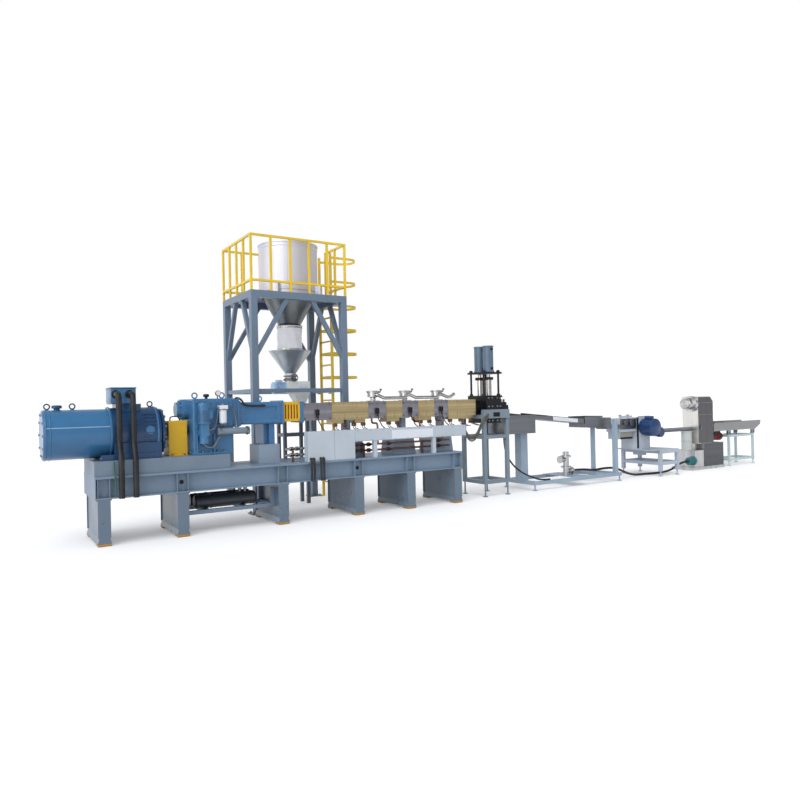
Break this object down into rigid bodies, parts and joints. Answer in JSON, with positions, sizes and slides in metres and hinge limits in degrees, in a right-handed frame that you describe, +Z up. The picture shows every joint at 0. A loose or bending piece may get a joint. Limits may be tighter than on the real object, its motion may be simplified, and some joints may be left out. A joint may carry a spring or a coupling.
{
  "type": "pelletizing line",
  "caption": "Twin-screw compounding extruder line with hopper tower, screen changer, strand water trough, pelletizer, dryer and vibrating sieve.",
  "frame": {"origin": "centre of the underside of the front pad below the first leg, at the motor end of the base", "axes": "+X along the line from motor to sieve, +Y from the operator side to the tower side, +Z up"},
  "size_m": [15.02, 2.484, 4.152],
  "materials": {
    "base_paint": "semi-gloss blue-grey machine paint",
    "pad_paint": "ochre yellow paint",
    "motor_paint": "semi-gloss blue machine paint",
    "gear_paint": "semi-gloss lighter blue machine paint",
    "guard_paint": "yellow safety paint",
    "rail_paint": "yellow safety paint on tube",
    "barrel_steel": "ground grey steel",
    "heater_brass": "pale gold heater cover sheet",
    "light_paint": "pale grey powder coat",
    "pedestal_paint": "pale blue-grey paint",
    "black_steel": "blackened steel",
    "rod_chrome": "hard chrome",
    "cylinder_paint": "blue-grey paint",
    "cable_rubber": "black rubber sheath",
    "filter_white": "white enamel",
    "stainless": "brushed stainless sheet",
    "stainless_dull": "dull stainless sheet",
    "pipe_copper": "copper and brass pipe",
    "frame_paint": "light blue-grey paint on tube",
    "tower_paint": "blue-grey paint on steel sections",
    "sleeve_fabric": "white woven sleeve",
    "feeder_white": "off-white paint",
    "body_grey": "pale grey paint",
    "pump_teal": "teal paint",
    "sieve_red": "red paint",
    "sieve_green": "pale green-white paint",
    "dark_paint": "dark grey paint",
    "tank_black": "black paint"
  },
  "bodies": {
    "line": {"base_legs": "base_paint", "base_foot_pads": "pad_paint", "base_frame": "base_paint", "drive_plinth": "base_paint", "oil_station_rack": "base_paint", "oil_tanks": "tank_black", "motor_body": "motor_paint", "motor_cowl": "motor_paint", "motor_cables": "cable_rubber", "coupling_guard": "guard_paint", "gearbox_housing": "gear_paint", "oil_pump_motor": "gear_paint", "oil_filter": "filter_white", "oil_cooler": "stainless_dull", "distribution_case": "gear_paint", "lantern_guard": "guard_paint", "barrel_core": "barrel_steel", "heater_covers": "heater_brass", "machine_pedestals": "pedestal_paint", "vent_line": "stainless", "cable_trunk": "light_paint", "cooling_pipes": "pipe_copper", "screen_changer_block": "black_steel", "screen_changer_frame": "black_steel", "hydraulic_cylinders": "cylinder_paint", "die_head": "black_steel", "die_stand": "frame_paint", "water_tank": "stainless_dull", "strand_trough": "stainless_dull", "drain_box": "stainless_dull", "trough_frame": "frame_paint", "water_pump": "stainless", "pelletizer_frame": "frame_paint", "pelletizer_body": "body_grey", "pelletizer_motor": "motor_paint", "pellet_pipe": "stainless", "dryer_base": "stainless_dull", "dryer_column": "stainless", "dryer_separator": "feeder_white", "dryer_fan": "stainless_dull", "dryer_pump": "pump_teal", "sieve_tray": "stainless", "sieve_frame": "sieve_green", "sieve_motor": "sieve_red", "tower_frame": "tower_paint", "tower_railings": "rail_paint", "ladder_with_cage": "rail_paint", "hopper_barrel": "stainless", "hopper_cone": "stainless", "hopper_sleeve": "sleeve_fabric", "feed_funnel": "stainless_dull", "trunk_cables": "cable_rubber", "pump_hose": "cable_rubber", "die_hose": "cable_rubber", "feeder_body": "feeder_white", "feeder_motor": "motor_paint", "side_feeder": "body_grey", "side_feeder_stand": "dark_paint"},
    "front_slide": {"piston_front": "rod_chrome"},
    "rear_slide": {"piston_rear": "rod_chrome"}
  },
  "joints": [
    {"name": "front_screen_slide", "type": "slide", "parent": "line", "child": "front_slide", "axis": [0, 0, 1], "range_m": [-0.22, 0.04]},
    {"name": "rear_screen_slide", "type": "slide", "parent": "line", "child": "rear_slide", "axis": [0, 0, 1], "range_m": [-0.22, 0.04]}
  ]
}
